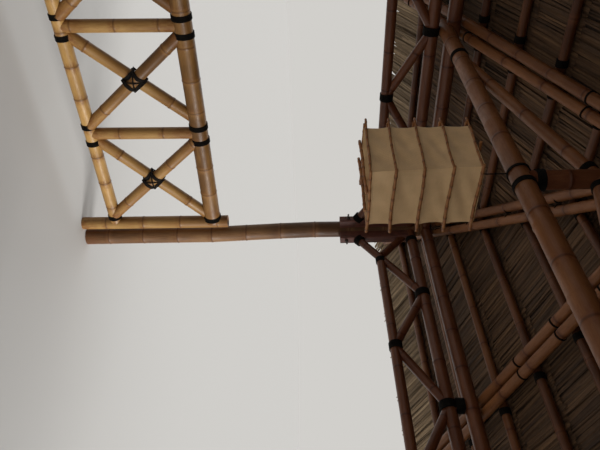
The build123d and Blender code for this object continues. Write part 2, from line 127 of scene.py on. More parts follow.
# ---------- what a user would change
class GazeboSizes(bpy.types.PropertyGroup):
    """Sizes of what is dressed on to the solid model."""
    rope: length("Rope", "Diameter of the black lashing rope", 0.006)
    wire: length("Cord", "Diameter of the black cord under the roof", 0.005)
    culm_pitch: length("Node spacing", "Between the nodes of a thin culm", 0.27)
    strip_width: length("Strip width", "Width of one leaf strip seen from below", 0.015)
    strip_pitch: length("Strip spacing", "Between neighbouring strips seen from below", 0.0125)
    leaf_width: length("Blade width", "Width of one leaf blade on top of the roof", 0.022)
    leaf_pitch: length("Blade spacing", "Between neighbouring blades on top", 0.018)
    courses: IntProperty(name="Courses", description="Thatch courses on each side", default=9)
    cloth_dip: length("Cloth dip", "How far the cloth pulls in between two twigs", 0.007)
    roof_pitch: FloatProperty(name="Roof pitch", description="Slope of every roof side",
                              default=math.radians(20.8), subtype="ANGLE")


class GazeboColours(bpy.types.PropertyGroup):
    """Main tone of each finish."""
    post: colour("Weathered posts", "#7f5f3d")
    truss: colour("Smoked truss culms", "#623a24")
    rafter: colour("Roof poles", "#714728")
    rail: colour("Railing culms", "#94713f")
    block: colour("Hardwood blocks", "#542a1c")
    rope: colour("Black rope", "#130f0b")
    leaf: colour("Inner thatch leaves", "#523a24")
    weathered: colour("Outer thatch leaves", "#7f6b52")
    twig: colour("Lantern twigs", "#9c6c3c")
    cloth: colour("Lantern cloth", "#cba97c")
    floor: colour("Floor", "#c9c7c3")


# ---------- modelling helpers
def pick(*pieces):
    """Selects these pieces alone, the first one active."""
    if bpy.context.mode != "OBJECT":
        bpy.ops.object.mode_set(mode="OBJECT")
    bpy.ops.object.select_all(action="DESELECT")
    for piece in pieces:
        piece.select_set(True)
    bpy.context.view_layer.objects.active = pieces[0]


@contextmanager
def editing(piece, action="SELECT"):
    """Edit mode on one piece, with everything in it selected or deselected."""
    pick(piece)
    bpy.ops.object.mode_set(mode="EDIT")
    bpy.ops.mesh.select_all(action=action)
    yield
    bpy.ops.object.mode_set(mode="OBJECT")


def added(name, data):
    """A new object in the scene."""
    item = bpy.data.objects.new(name, data)
    bpy.context.collection.objects.link(item)
    return item


def settle(piece, name, material=None, replaces=(), smooth=40):
    """Puts a finished piece's place in its mesh and fastens it to the gazebo."""
    pick(piece)
    bpy.ops.object.transform_apply(location=True, rotation=True, scale=True)
    if smooth:
        bpy.ops.object.shade_smooth_by_angle(angle=math.radians(smooth))
    piece.name = piece.data.name = name
    if material:
        piece.data.materials.clear()
        piece.data.materials.append(material)
    if replaces:
        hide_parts(*replaces)
    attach(piece, "root")
    return piece


def points_of(mesh):
    values = np.zeros(len(mesh.vertices) * 3)
    mesh.vertices.foreach_get("co", values)
    return values.reshape(-1, 3)


def write_points(mesh, points):
    mesh.vertices.foreach_set("co", np.asarray(points, dtype=np.float32).ravel())
    mesh.update()


def read_attribute(mesh, name, size):
    """The numbers of a vertex attribute, or None where the mesh has none."""
    if name not in mesh.attributes:
        return None
    values = np.zeros(len(mesh.vertices) * size, np.float32)
    mesh.attributes[name].data.foreach_get("vector" if size == 3 else "value", values)
    return values.reshape(-1, 3) if size == 3 else values


def write_attribute(mesh, name, values):
    """Stores one number or one vector for each vertex."""
    values = np.asarray(values, np.float32)
    if values.ndim == 0:
        values = np.full(len(mesh.vertices), values, np.float32)
    kind, field = ("FLOAT_VECTOR", "vector") if values.ndim == 2 else ("FLOAT", "value")
    layer = mesh.attributes.get(name) or mesh.attributes.new(name, kind, "POINT")
    layer.data.foreach_set(field, values.ravel())


def copies(model, places, name):
    """Copies a modelled piece to each place, each with its own mesh, and joins them.

    A place is a matrix and a tone from 0 to 1, which shifts the copy's colour and grain.
    """
    made = []
    grain, tones = read_attribute(model.data, "grain", 3), read_attribute(model.data, "tone", 1)
    for matrix, tone in places:
        data = model.data.copy()
        data.transform(matrix)
        if grain is not None:
            write_attribute(data, "grain", grain + (len(made) * 0.37, tone * 9.0, 0))
        write_attribute(data, "tone", tone if tones is None else tones + 0.5 * (tone - 0.5))
        made.append(added(name, data))
    bpy.data.objects.remove(model)
    return join(made, name)


def join(pieces, name):
    pick(*pieces)
    bpy.ops.object.join()
    piece = bpy.context.view_layer.objects.active
    piece.name = name
    return piece


def turned_to(direction, centre, spin=0.0):
    """Matrix that stands a piece made round Z at a centre, round another direction."""
    turn = Vector((0, 0, 1)).rotation_difference(Vector(direction)).to_matrix().to_4x4()
    return Matrix.Translation(centre) @ turn @ Matrix.Rotation(spin, 4, "Z")


def quarter_turn(side):
    """Turns what is made for the back side to another side."""
    return Matrix.Rotation(math.radians(90 * SIDES[side]), 4, "Z")


def merged_copy(node, name):
    """A copy of a solid node with its triangles joined up."""
    piece = added(name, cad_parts[node].data.copy())
    with editing(piece):
        bpy.ops.mesh.remove_doubles(threshold=0.00002)
        bpy.ops.mesh.customdata_custom_splitnormals_clear()
    return piece


def drawn_out(profile, sides, capped, **place):
    """A circle drawn out along Z through the rings (radius, height) of a profile."""
    bpy.ops.object.select_all(action="DESELECT")
    bpy.ops.mesh.primitive_circle_add(vertices=sides, radius=profile[0][0],
                                      fill_type="NGON" if capped else "NOTHING", **place)
    piece = bpy.context.view_layer.objects.active
    extrude = bpy.ops.mesh.extrude_region_move if capped else bpy.ops.mesh.extrude_edges_move
    with editing(piece):
        for (r0, z0), (r1, z1) in zip(profile[:-1], profile[1:]):
            extrude(TRANSFORM_OT_translate={"value": (0, 0, z1 - z0)})
            bpy.ops.transform.resize(value=(r1 / r0, r1 / r0, 1))
        bpy.ops.mesh.select_all(action="SELECT")
        bpy.ops.mesh.normals_make_consistent(inside=False)
    return piece


def tube(name, route, radius, closed=False, sides=6, smooth=True, radii=None):
    """A round strand along a smooth route, made from a curve and turned to a mesh."""
    line = bpy.data.curves.new(name, "CURVE")
    line.dimensions = "3D"
    line.bevel_depth = radius
    line.bevel_resolution = max(0, sides // 2 - 2)
    line.resolution_u = 3
    line.use_fill_caps = not closed
    spline = line.splines.new("NURBS" if smooth else "POLY")
    spline.points.add(len(route) - 1)
    for k, (point, place) in enumerate(zip(spline.points, route)):
        point.co = (*place, 1.0)
        point.radius = radii[k] if radii else 1.0
    spline.use_cyclic_u = closed
    if smooth:
        spline.order_u = 3
        spline.use_endpoint_u = not closed
    pick(added(name, line))
    bpy.ops.object.convert(target="MESH")
    return bpy.context.view_layer.objects.active


# ---------- material helpers
def add_node(tree, kind, inputs=None, stops=None, **settings):
    """Adds one node. Settings are its own, inputs are values or sockets that feed it."""
    node = tree.nodes.new("ShaderNode" + kind)
    for name, value in settings.items():
        setattr(node, name, value)
    for key, value in (inputs or {}).items():
        if isinstance(value, bpy.types.NodeSocket):
            tree.links.new(value, node.inputs[key])
        else:
            node.inputs[key].default_value = value
    if stops:
        elements = node.color_ramp.elements
        while len(elements) < len(stops):
            elements.new(0.5)
        for element, (place, tone) in zip(elements, stops):
            element.position = place
            element.color = (*tone, 1.0)
    return node


def maths(tree, operation, *values, clamp=False):
    """Result of one arithmetic node on numbers or sockets."""
    return add_node(tree, "Math", dict(enumerate(values)), operation=operation,
                    use_clamp=clamp).outputs[0]


def ease(tree, value, low, high, first=1.0, last=0.0, kind="SMOOTHSTEP"):
    """Goes from first to last while the value goes from low to high."""
    return add_node(tree, "MapRange", {"Value": value, "From Min": low, "From Max": high,
                                       "To Min": first, "To Max": last},
                    interpolation_type=kind).outputs[0]


def noise(tree, vector, scale, detail, roughness=0.5, distortion=0.0, **settings):
    """Noise from 0 to 1, with one scale or one for each axis, in 1/m."""
    if isinstance(scale, tuple):
        vector = add_node(tree, "Mapping", {"Vector": vector, "Scale": scale}).outputs[0]
        scale = 1.0
    return add_node(tree, "TexNoise", {"Vector": vector, "Scale": scale, "Detail": detail,
                                       "Roughness": roughness, "Distortion": distortion},
                    **settings).outputs["Fac"]


def ramp(tree, value, *stops):
    return add_node(tree, "ValToRGB", {"Fac": value}, stops=stops).outputs["Color"]


def mixed(tree, factor, below, above):
    """A colour socket with a plain colour over it."""
    return add_node(tree, "Mix", {"Factor": factor, "A": below, "B": (*above, 1)},
                    data_type="RGBA").outputs["Result"]


def relief(tree, height, distance, strength):
    return add_node(tree, "Bump", {"Height": height, "Distance": distance,
                                   "Strength": strength}).outputs["Normal"]


def attribute(tree, name, output="Vector"):
    return add_node(tree, "Attribute", attribute_name=name).outputs[output]


def new_material(name):
    """A material with one shader, and its tree."""
    material = bpy.data.materials.new(name)
    material.use_nodes = True
    return material, material.node_tree


def shaded(material, **inputs):
    """The material, with its shader's own sockets set or fed."""
    tree = material.node_tree
    for key, value in inputs.items():
        socket = tree.nodes["Principled BSDF"].inputs[key.replace("_", " ")]
        if isinstance(value, bpy.types.NodeSocket):
            tree.links.new(value, socket)
        else:
            socket.default_value = value
    return material


def shade(tone, factor, warm=1.0):
    """A darker or lighter tone of a colour; warm above 1 moves it towards red."""
    red, green, blue = tone
    return (min(1.0, red * factor * warm), min(1.0, green * factor),
            min(1.0, blue * factor / warm))


def reuse(name, make, *facts):
    """The material of that name, made the first time it is asked for."""
    return bpy.data.materials.get(name) or make(name, *facts)


def rind(kind):
    """The rind of one kind of culm."""
    name, *facts = RINDS[kind]
    return reuse(name, bamboo_rind, getattr(bpy.context.scene.gazebo_colours, kind), *facts)


def finish_solid(node, material):
    """Puts a material on a solid that shows as it is."""
    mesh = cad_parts[node].data
    mesh.materials.clear()
    mesh.materials.append(material)


# ---------- finishes
def bamboo_rind(name, tone, gloss, fibre, stain, sheen):
    """Whole culm with its rind on: hard, waxy, finely ribbed along the grain, with a raised
    ring at each node, brown stains round the nodes and near the cut ends."""
    material, tree = new_material(name)
    grain, rings = attribute(tree, "grain"), attribute(tree, "rings")
    along = add_node(tree, "SeparateXYZ", {0: grain}).outputs["Z"]
    first, pitch, span = add_node(tree, "SeparateXYZ", {0: rings}).outputs
    # fibres 3 mm wide and 80 mm long, drawn coarser than the real 0.5 mm so that they show
    fibres = noise(tree, grain, (330, 330, 12), 3.0, 0.65)
    # patches 100 mm wide and 300 mm long, specks and runs of dirt 15 mm wide
    patches = noise(tree, grain, (11, 11, 3.4), 3.0)
    specks = noise(tree, grain, (70, 70, 26), 5.0, 0.7)
    # signed distance from the nearest node, in metres
    turns = maths(tree, "DIVIDE", maths(tree, "SUBTRACT", along, first), pitch)
    turns = maths(tree, "FRACT", maths(tree, "ADD", turns, 0.5))
    signed = maths(tree, "MULTIPLY", maths(tree, "SUBTRACT", turns, 0.5), pitch)
    gap = maths(tree, "ABSOLUTE", signed)
    halo = ease(tree, gap, 0.004, 0.045)
    # rind colour: broad patches, then fibres, then the culm's own tone
    mix = maths(tree, "MULTIPLY_ADD", fibres, fibre, maths(tree, "MULTIPLY", patches, 0.62))
    mix = maths(tree, "MULTIPLY_ADD", attribute(tree, "tone", "Fac"), 0.22, mix)
    clean = ramp(tree, mix, (0.30, shade(tone, 0.30, 1.25)), (0.48, shade(tone, 0.70, 1.12)),
                 (0.62, tone), (0.80, shade(tone, 1.5, 0.97)))
    # soil near the cut ends and round the nodes, broken up by the specks
    near = maths(tree, "MINIMUM", maths(tree, "SUBTRACT", span, along), along)
    soil = maths(tree, "MAXIMUM", ease(tree, near, 0.01, 0.17), halo)
    dirt = ease(tree, specks, 0.42, 0.66, 0.0, 1.0, "LINEAR")
    soil = maths(tree, "MULTIPLY_ADD", dirt, 0.22, maths(tree, "MULTIPLY", soil, stain),
                 clamp=True)
    soil = maths(tree, "MULTIPLY", soil, ease(tree, specks, 0.30, 0.62, 0.0, 1.0, "LINEAR"))
    # red-brown band 28 mm wide on the node
    soil = maths(tree, "MAXIMUM", soil, ease(tree, gap, 0.007, 0.021, 0.72))
    stained = mixed(tree, soil, clean, shade(tone, 0.36, 1.55))
    # pale wax on the near side of each node, and its dark edge
    bloom = maths(tree, "MULTIPLY", ease(tree, signed, -0.028, -0.006, 0.0, 1.0), halo)
    waxed = mixed(tree, maths(tree, "MULTIPLY", bloom, 0.16), stained, shade(tone, 1.7, 0.9))
    edge = maths(tree, "MULTIPLY", ease(tree, gap, 0.002, 0.008), 0.6)
    base = mixed(tree, edge, waxed, shade(tone, 0.17, 1.6))
    dull = ease(tree, specks, 0.3, 0.7, gloss - 0.08, gloss + 0.16, "LINEAR")
    # node ridge 1.2 mm high, fibres 0.15 mm
    height = maths(tree, "MULTIPLY_ADD", fibres, 0.14, ease(tree, gap, 0.0, 0.011))
    return shaded(material, Base_Color=base, Roughness=dull,
                  Normal=relief(tree, height, 0.0014, 0.9), IOR=1.5, Specular_IOR_Level=sheen)


def sawn_hardwood(name, tone):
    """Dark reddish hardwood, sawn and oiled long ago: straight grain, dull."""
    material, tree = new_material(name)
    place = add_node(tree, "TexCoord").outputs["Object"]
    streaks = noise(tree, place, (260, 260, 22), 4.0, distortion=0.6)
    blend = maths(tree, "MULTIPLY_ADD", noise(tree, place, 22.0, 3.0), 0.5, streaks)
    base = ramp(tree, blend, (0.50, shade(tone, 0.45)), (0.74, tone), (0.98, shade(tone, 1.6)))
    return shaded(material, Base_Color=base, Roughness=0.62,
                  Normal=relief(tree, streaks, 0.0008, 0.6))


def galvanised_steel(name):
    """Threaded rod and nuts, hot-dip galvanised, dulled, with rust in the threads."""
    material, tree = new_material(name)
    place = add_node(tree, "TexCoord").outputs["Object"]
    rust = noise(tree, place, 90.0, 5.0, 0.7)
    base = ramp(tree, rust, (0.40, linear("#74716c")), (0.52, linear("#4c4642")),
                (0.66, linear("#4a2718")))
    # thread pitch 1.75 mm along both bolt directions, drawn at 3 mm so that it shows
    turns = add_node(tree, "TexWave", {"Vector": place, "Scale": 52.0}, wave_type="BANDS",
                     bands_direction="DIAGONAL").outputs["Fac"]
    return shaded(material, Base_Color=base,
                  Roughness=ease(tree, rust, 0.35, 0.65, 0.38, 0.85, "LINEAR"),
                  Metallic=ease(tree, rust, 0.5, 0.62, 1.0, 0.15, "LINEAR"),
                  Normal=relief(tree, turns, 0.0008, 0.8))


def palm_fibre_rope(name, tone):
    """Black palm-fibre rope: matt, hairy, laid in strands of about 3 mm."""
    material, tree = new_material(name)
    place = add_node(tree, "TexCoord").outputs["Object"]
    hairs = noise(tree, place, 420.0, 4.0, 0.7)
    blend = maths(tree, "MULTIPLY_ADD", noise(tree, place, 45.0, 2.0), 0.5, hairs)
    base = ramp(tree, blend, (0.55, shade(tone, 0.45)), (0.80, tone), (1.0, shade(tone, 2.6)))
    return shaded(material, Base_Color=base, Roughness=0.85,
                  Normal=relief(tree, hairs, 0.0015, 0.9), Specular_IOR_Level=0.15)


def dry_leaf(name, tone):
    """Dried thatch leaf: papery and dull, with fine veins along it; leaves differ in age
    from grey to straw."""
    material, tree = new_material(name)
    grain = attribute(tree, "grain")
    # veins 5 mm apart, mildew and weather marks 40 mm across
    veins = noise(tree, grain, (190, 5, 1), 2.0, noise_dimensions="2D")
    marks = noise(tree, grain, 26.0, 4.0, 0.65)
    blend = maths(tree, "MULTIPLY_ADD", marks, 0.28, maths(tree, "MULTIPLY", veins, 0.42))
    blend = maths(tree, "MULTIPLY_ADD", attribute(tree, "tone", "Fac"), 0.42, blend)
    base = ramp(tree, blend, (0.28, shade(tone, 0.38, 1.08)), (0.48, shade(tone, 0.80)),
                (0.62, shade(tone, 1.12)), (0.82, shade(tone, 1.9, 0.96)))
    return shaded(material, Base_Color=base, Roughness=0.84,
                  Normal=relief(tree, veins, 0.0012, 0.8))


def thatch_gap_shade(name, tone):
    """Packed leaf inside the thatch, seen only through gaps: matt, and painted dark as the shade
    deep in the thatch.
    """
    material, tree = new_material(name)
    place = add_node(tree, "TexCoord").outputs["Object"]
    # painted shade: the leaf's tone taken down to between a sixth and two fifths
    base = ramp(tree, noise(tree, place, 60.0, 5.0), (0.35, shade(tone, 0.16)),
                (0.70, shade(tone, 0.42)))
    return shaded(material, Base_Color=base, Roughness=0.9)


def cotton_cloth(name, tone):
    """Plain-woven unbleached cotton, yellowed by smoke and sun, slightly furry."""
    material, tree = new_material(name)
    place = add_node(tree, "TexCoord").outputs["Object"]
    # threads 0.6 mm apart, drawn at 2 mm so that they show
    warp, weft = (add_node(tree, "TexWave", {"Vector": place, "Scale": scale,
                                             "Distortion": 0.6, "Detail": 1.0},
                           bands_direction=direction).outputs["Fac"]
                  for scale, direction in ((80.0, "Z"), (55.0, "DIAGONAL")))
    stains = noise(tree, place, 14.0, 3.0, 0.55)
    slubs = noise(tree, place, (30, 30, 500), 2.0)
    base = ramp(tree, maths(tree, "MULTIPLY_ADD", slubs, 0.35, stains),
                (0.38, shade(tone, 0.84, 1.03)), (0.66, tone), (0.92, shade(tone, 1.12, 0.99)))
    weave = relief(tree, maths(tree, "ADD", warp, weft), 0.0004, 0.5)
    return shaded(material, Base_Color=base, Roughness=0.88, Normal=weave,
                  Sheen_Weight=0.25, Sheen_Roughness=0.5)


def painted_floor(name, tone):
    """Smooth matt studio floor."""
    return shaded(new_material(name)[0], Base_Color=(*tone, 1), Roughness=0.9,
                  Specular_IOR_Level=0.2)


# ---------- culms
def loose_parts(mesh):
    """Vertex numbers of each separate stick in a mesh."""
    joined = list(range(len(mesh.vertices)))

    def root(k):
        while joined[k] != k:
            joined[k] = joined[joined[k]]
            k = joined[k]
        return k

    for edge in mesh.edges:
        a, b = root(edge.vertices[0]), root(edge.vertices[1])
        if a != b:
            joined[max(a, b)] = min(a, b)
    groups = {}
    for k in range(len(joined)):
        groups.setdefault(root(k), []).append(k)
    return [np.array(group) for group in groups.values()]


def read_culm(points, chance, pitch):
    """Grain space, node places and length of one culm, from its solid's own points."""
    centre = points.mean(0)
    axis = np.linalg.svd(points - centre, full_matrices=False)[2][0]
    if axis @ (0.3, 0.2, 1.0) < 0:
        axis = -axis
    helper = (1.0, 0, 0) if abs(axis[2]) > 0.8 else (0, 0, 1.0)
    across = np.cross(axis, helper)
    across /= np.linalg.norm(across)
    other = np.cross(axis, across)
    local = (points - centre) @ np.array([across, other, axis]).T
    local[:, 2] -= local[:, 2].min()
    span = local[:, 2].max()
    angle = np.arctan2(local[:, 1], local[:, 0])
    reach = np.hypot(local[:, 0], local[:, 1])
    bound = np.median(reach[reach > reach.max() * 0.8])
    # a ring is where points stand out by 1 mm in all eighths of the way round
    rings = []
    for place in np.arange(0.06, span - 0.05, 0.004):
        near = (np.abs(local[:, 2] - place) < 0.011) & (reach > bound + 0.0010)
        full = len(np.unique(np.floor(angle[near] / 0.785))) >= 8
        if full and (not rings or place - rings[-1] > 0.1):
            rings.append((local[near, 2].min() + local[near, 2].max()) / 2)
    gaps = [b - a for a, b in zip(rings[:-1], rings[1:])]
    if gaps and min(gaps) > 0.12:
        return local, (rings[0], min(gaps), span)
    pitch *= chance.uniform(0.86, 1.16)
    return local, (chance.uniform(0.15, 0.85) * pitch, pitch, span)


@cache
def axes_of(node):
    """Centre, direction, half length and radius of each straight pole in a solid node."""
    piece = merged_copy(node, "axes")
    points, found = points_of(piece.data), []
    for part in loose_parts(piece.data):
        spots = points[part]
        centre = (spots.min(0) + spots.max(0)) / 2
        direction = np.linalg.svd(spots - spots.mean(0), full_matrices=False)[2][0]
        along = (spots - centre) @ direction
        across = (spots - centre) - np.outer(along, direction)
        found.append((Vector(centre), Vector(direction), along.max(),
                      float(np.median(np.linalg.norm(across, axis=1)))))
    bpy.data.objects.remove(piece)
    return found


def dress_culms(node, material, tone=(0.0, 1.0), fade=0.0, painted_light_east=0.0):
    """A merged copy of a solid node, with the grain of each culm written on it.

    Fade is how much darker each culm grows for each metre of height, and the last argument how
    much paler the culms are painted for each metre to the right, as light falling in from the
    open right side.
    """
    pitch = bpy.context.scene.gazebo_sizes.culm_pitch
    piece = merged_copy(node, node + "_culms")
    points = points_of(piece.data)
    grain, rings, tones = np.zeros_like(points), np.zeros_like(points), np.zeros(len(points))
    chance = random.Random(node)
    for part in loose_parts(piece.data):
        local, facts = read_culm(points[part], chance, pitch)
        grain[part] = local + (chance.uniform(0, 40), chance.uniform(0, 40), 0)
        rings[part] = facts
        # random tone, darker with height by fade, and painted light: paler towards the right
        tones[part] = (chance.uniform(*tone) - fade * points[part, 2]
                       + painted_light_east * points[part, 0].mean())
    for name, values in (("grain", grain), ("rings", rings), ("tone", tones)):
        write_attribute(piece.data, name, values)
    return settle(piece, node + "_culms", material, [node], 35)


def lean(piece, heights, shifts, direction):
    """Moves a dressed culm sideways by a shift for each height; it bends at its nodes."""
    points = points_of(piece.data)
    moved = np.interp(points[:, 2], heights, shifts)
    write_points(piece.data, points + moved[:, None] * np.array(direction))


def new_culm(start, stop, radius, chance, tone, fade):
    """A culm between two points, extruded from node to node, with a raised ring at each."""
    span = (stop - start).length
    pitch = bpy.context.scene.gazebo_sizes.culm_pitch * chance.uniform(0.8, 1.1)
    first = chance.uniform(0.25, 0.75) * pitch
    profile = [(radius, 0.0)]
    for k in range(int((span - first - 0.05) // pitch) + 1):
        place = first + pitch * k
        profile += [(radius, place - 0.012), (radius + 0.0020, place - 0.002),
                    (radius + 0.0020, place + 0.002), (radius, place + 0.010)]
    culm = drawn_out([*profile, (radius, span)], 24, True)
    points = points_of(culm.data)
    write_attribute(culm.data, "grain", points + (chance.uniform(0, 40), 0, 0))
    write_attribute(culm.data, "rings", np.tile((first, pitch, span), (len(points), 1)))
    culm.data.transform(turned_to((stop - start).normalized(), start))
    write_attribute(culm.data, "tone", tone - fade * points_of(culm.data)[:, 2])
    return culm


class DressPosts(bpy.types.Operator):
    """Weathered rind on the four corner posts"""
    bl_idname = "gazebo.dress_posts"
    bl_label = "Corner posts"

    def execute(self, context):
        # each post bends a little at its nodes; the foot, in the railing's shade, and the part
        # under the roof are painted darker as shade, and the culm is 6 % thicker than the solid
        heights = (0.0, 0.45, 0.9, 1.15, 1.5, 1.8, 2.1)
        bends = (0.0, 0.002, 0.006, -0.001, -0.011, -0.013, -0.003)
        # painted shade: how much darker the post is at each height, at its foot and under the
        # roof
        tones = (-1.0, -0.8, -0.2, -0.4, -1.2, -1.9, -2.1)
        for corner in CORNERS:
            node = "corner_post_" + corner
            piece = dress_culms(node, rind("post"), (0.0, 0.2))
            axis = np.array(middle(node).xy)
            points = points_of(piece.data)
            tone = read_attribute(piece.data, "tone", 1)
            write_attribute(piece.data, "tone", tone + np.interp(points[:, 2], heights, tones))
            points[:, :2] = axis + (points[:, :2] - axis) * 1.06
            write_points(piece.data, points)
            lean(piece, heights, bends, Vector((axis[1], -axis[0] * 0.83, 0)).normalized())
        return {"FINISHED"}


class DressTrusses(bpy.types.Operator):
    """Smoked rind on the chords, truss braces, wall plates and the king post"""
    bl_idname = "gazebo.dress_trusses"
    bl_label = "Trusses and beams"

    def execute(self, context):
        nodes = [kind + side for side in SIDES
                 for kind in ("upper_chord_", "lower_chord_", "truss_braces_")]
        for node in (*nodes, "wall_plates", "king_post"):
            dress_culms(node, rind("truss"))
        return {"FINISHED"}


class DressRoofPoles(bpy.types.Operator):
    """Dull brown rind on the rafters, purlins, tie beam and struts"""
    bl_idname = "gazebo.dress_roof_poles"
    bl_label = "Rafters and purlins"

    def execute(self, context):
        # painted light: the roof poles grow paler towards the open right side
        for node in ("tie_beam", "king_post_struts", "hip_rafters", "common_rafters"):
            dress_culms(node, rind("rafter"),
                        painted_light_east=0.7 if node == "common_rafters" else 0.2)
        for side in SIDES:
            dress_culms("purlins_" + side, rind("rafter"), (-1.2, -0.1),
                        painted_light_east=0.5)
        return {"FINISHED"}


class DressRailings(bpy.types.Operator):
    """Golden varnished rind on the railings"""
    bl_idname = "gazebo.dress_railings"
    bl_label = "Railings"

    def execute(self, context):
        tones = {"top_rail_": (-0.7, 0.0), "bottom_rail_": (0.9, 0.0),
                 "railing_posts_": (0.3, 0.7), "railing_uprights_": (0.5, 0.5)}
        for side in RAILED:
            across = quarter_turn(side).to_3x3() @ Vector((1, 0, 0))
            for kind, (level, fade) in tones.items():
                piece = dress_culms(kind + side, rind("rail"),
                                    (level - 0.1, level + 0.3), fade)
                if kind == "bottom_rail_":
                    lean(piece, (0, 1), (LOW_LIFT, LOW_LIFT), (0, 0, 1))
                elif kind in LEANING:
                    lean(piece, *LEANING[kind], across)
        # the braces are straight culms in the rails' own plane, their ends sunk in the rails
        for kind, tone, fade in (("falling", 0.3, 3.0), ("rising", 0.6, 2.4)):
            for side in RAILED:
                chance = random.Random(kind + side)
                node = f"railing_braces_{kind}_{side}"
                piece = join([new_culm(*ends, brace_radius(), chance,
                                       chance.uniform(0.0, 0.2) + tone + 0.15 * bay,
                                       fade - 0.5 * bay)
                              for bay, ends in enumerate(brace_lines(kind))], node)
                piece.data.transform(quarter_turn(side))
                settle(piece, node + "_culms", rind("rail"), [node], 35)
        return {"FINISHED"}


class DressBlocks(bpy.types.Operator):
    """Hardwood on the blocks, steel on the bolts"""
    bl_idname = "gazebo.dress_blocks"
    bl_label = "Blocks and bolts"

    def execute(self, context):
        wood = reuse("sawn_dark_hardwood", sawn_hardwood, context.scene.gazebo_colours.block)
        finish_solid("post_blocks", wood)
        finish_solid("plate_spacers", wood)
        finish_solid("block_bolts", reuse("galvanised_steel", galvanised_steel))
        return {"FINISHED"}


# ---------- lashings
def rope_finish():
    return reuse("black_palm_fibre_rope", palm_fibre_rope,
                 bpy.context.scene.gazebo_colours.rope)


def rope_band(radius, turns, rope, sides):
    """Turns of rope wound close round a pole along Z: a ribbed sleeve, tucked in at its ends."""
    tuck, valley, ridge = radius - 0.008, radius + rope * 0.25, radius + rope * 0.92
    profile = [(tuck, 0.0)]
    for k in range(turns):
        start = k * rope * 0.96
        profile += [(valley, start + rope * 0.04), (ridge, start + rope * 0.30),
                    (ridge, start + rope * 0.66)]
    end = turns * rope * 0.96
    band = drawn_out([*profile, (valley, end), (tuck, end)], sides, False,
                     location=(0, 0, -end / 2))
    bpy.ops.object.transform_apply(location=True, rotation=True, scale=True)
    return band


def wind_bands(name, places, rope=None, sides=20):
    """Bands at places (centre, direction, pole radius, turns), one model for each size."""
    rope = rope or bpy.context.scene.gazebo_sizes.rope
    sizes = {}
    for centre, direction, radius, turns in places:
        sizes.setdefault((round(radius, 4), turns), []).append((centre, direction))
    chance = random.Random(name)
    made = []
    for (radius, turns), spots in sizes.items():
        made.append(copies(rope_band(radius, turns, rope, sides), [
            (turned_to(direction, centre, chance.uniform(0, 6.28))
             @ Matrix.Rotation(chance.uniform(-0.05, 0.05), 4, "X"), chance.random())
            for centre, direction in spots], name))
    return settle(join(made, name), name, rope_finish(), (), 50)


def turned(places, side):
    """The bands' places of the back side, turned to another side."""
    turn = quarter_turn(side)
    return [(turn @ Vector(centre), turn.to_3x3() @ Vector(direction), radius, turns)
            for centre, direction, radius, turns in places]


def purlin(row):
    """Plan distance of a row of purlins from the middle, the top row being 0."""
    return 0.235 + 0.29 * row


def pole_facts(node, axis, ring=RING):
    """Centre and radius of a straight solid pole that runs along axis 0, 1 or 2."""
    low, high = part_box(node)
    width = min(high[k] - low[k] for k in range(3) if k != axis)
    return (low + high) / 2, width / 2 - ring


class LashTrusses(bpy.types.Operator):
    """Black rope round every joint of the four trusses"""
    bl_idname = "gazebo.lash_trusses"
    bl_label = "Truss lashings"

    def execute(self, context):
        upper, upper_radius = pole_facts("upper_chord_back", 0)
        lower, lower_radius = pole_facts("lower_chord_back", 0, ring=0.0)
        wall, high, low = upper.y, upper.z, lower.z
        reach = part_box("lower_chord_back")[1].x
        fall = (high - low) / (BRACE_TOE - UPPER_JOINT)
        face = wall - BLOCK_FACE
        # a band that holds a brace's end too is 6 mm wider in radius than its chord; from the
        # middle outwards: at the chords' joints, at the lower chord's end, on the upper chord
        # beside the block, and on the long brace where it stands against the block
        long_brace, block = 0.031, 0.037
        places = [((0, wall, high - 0.006), (1, 0, 0), upper_radius + 0.006, 8)]
        for s in (-1, 1):
            foot = high - fall * (face - 0.004 - UPPER_JOINT)
            places += [
                ((s * UPPER_JOINT, wall, high - 0.006), (1, 0, 0), upper_radius + 0.006, 8),
                ((s * LOWER_JOINT, wall, low + 0.006), (1, 0, 0), lower_radius + 0.006, 8),
                ((s * (reach - 0.045), wall, low), (1, 0, 0), lower_radius, 7),
                ((s * (face - 0.022), wall, high), (1, 0, 0), upper_radius, 7),
                ((s * (face - 0.004), wall, foot), Vector((s, 0, -fall)).normalized(),
                 long_brace, 7)]
        spacer = ((0, wall, middle("plate_spacers").z), (0, 0, 1), block, 8)
        for side in SIDES:
            sided = side in ("left", "right")
            wind_bands("lashings_truss_" + side,
                       turned([*places, spacer] if sided else places, side))
        return {"FINISHED"}


class LashBeams(bpy.types.Operator):
    """Black rope on the tie beam, the king post and its struts"""
    bl_idname = "gazebo.lash_beams"
    bl_label = "Beam lashings"

    def execute(self, context):
        beam, beam_radius = pole_facts("tie_beam", 1)
        king_radius = pole_facts("king_post", 2)[1]
        # on the king post above the beam and on the beam beside it, then at both struts'
        # feet on the beam and on the struts themselves, 60 mm below their heads
        strut_radius = 0.027
        places = [((0, 0, beam.z + beam_radius + 0.022), (0, 0, 1), king_radius, 6),
                  ((0, -0.034, beam.z), (0, 1, 0), beam_radius, 4)]
        head = Vector((0, 0, beam.z + STRUT_RISE))
        for s in (-1, 1):
            strut = Vector((0, -s * STRUT_RUN, STRUT_RISE)).normalized()
            places += [((0, s * STRUT_FOOT, beam.z), (0, 1, 0), beam_radius, 5),
                       (head - strut * 0.060, strut, strut_radius, 5)]
        wind_bands("lashings_tie_beam", places)
        return {"FINISHED"}


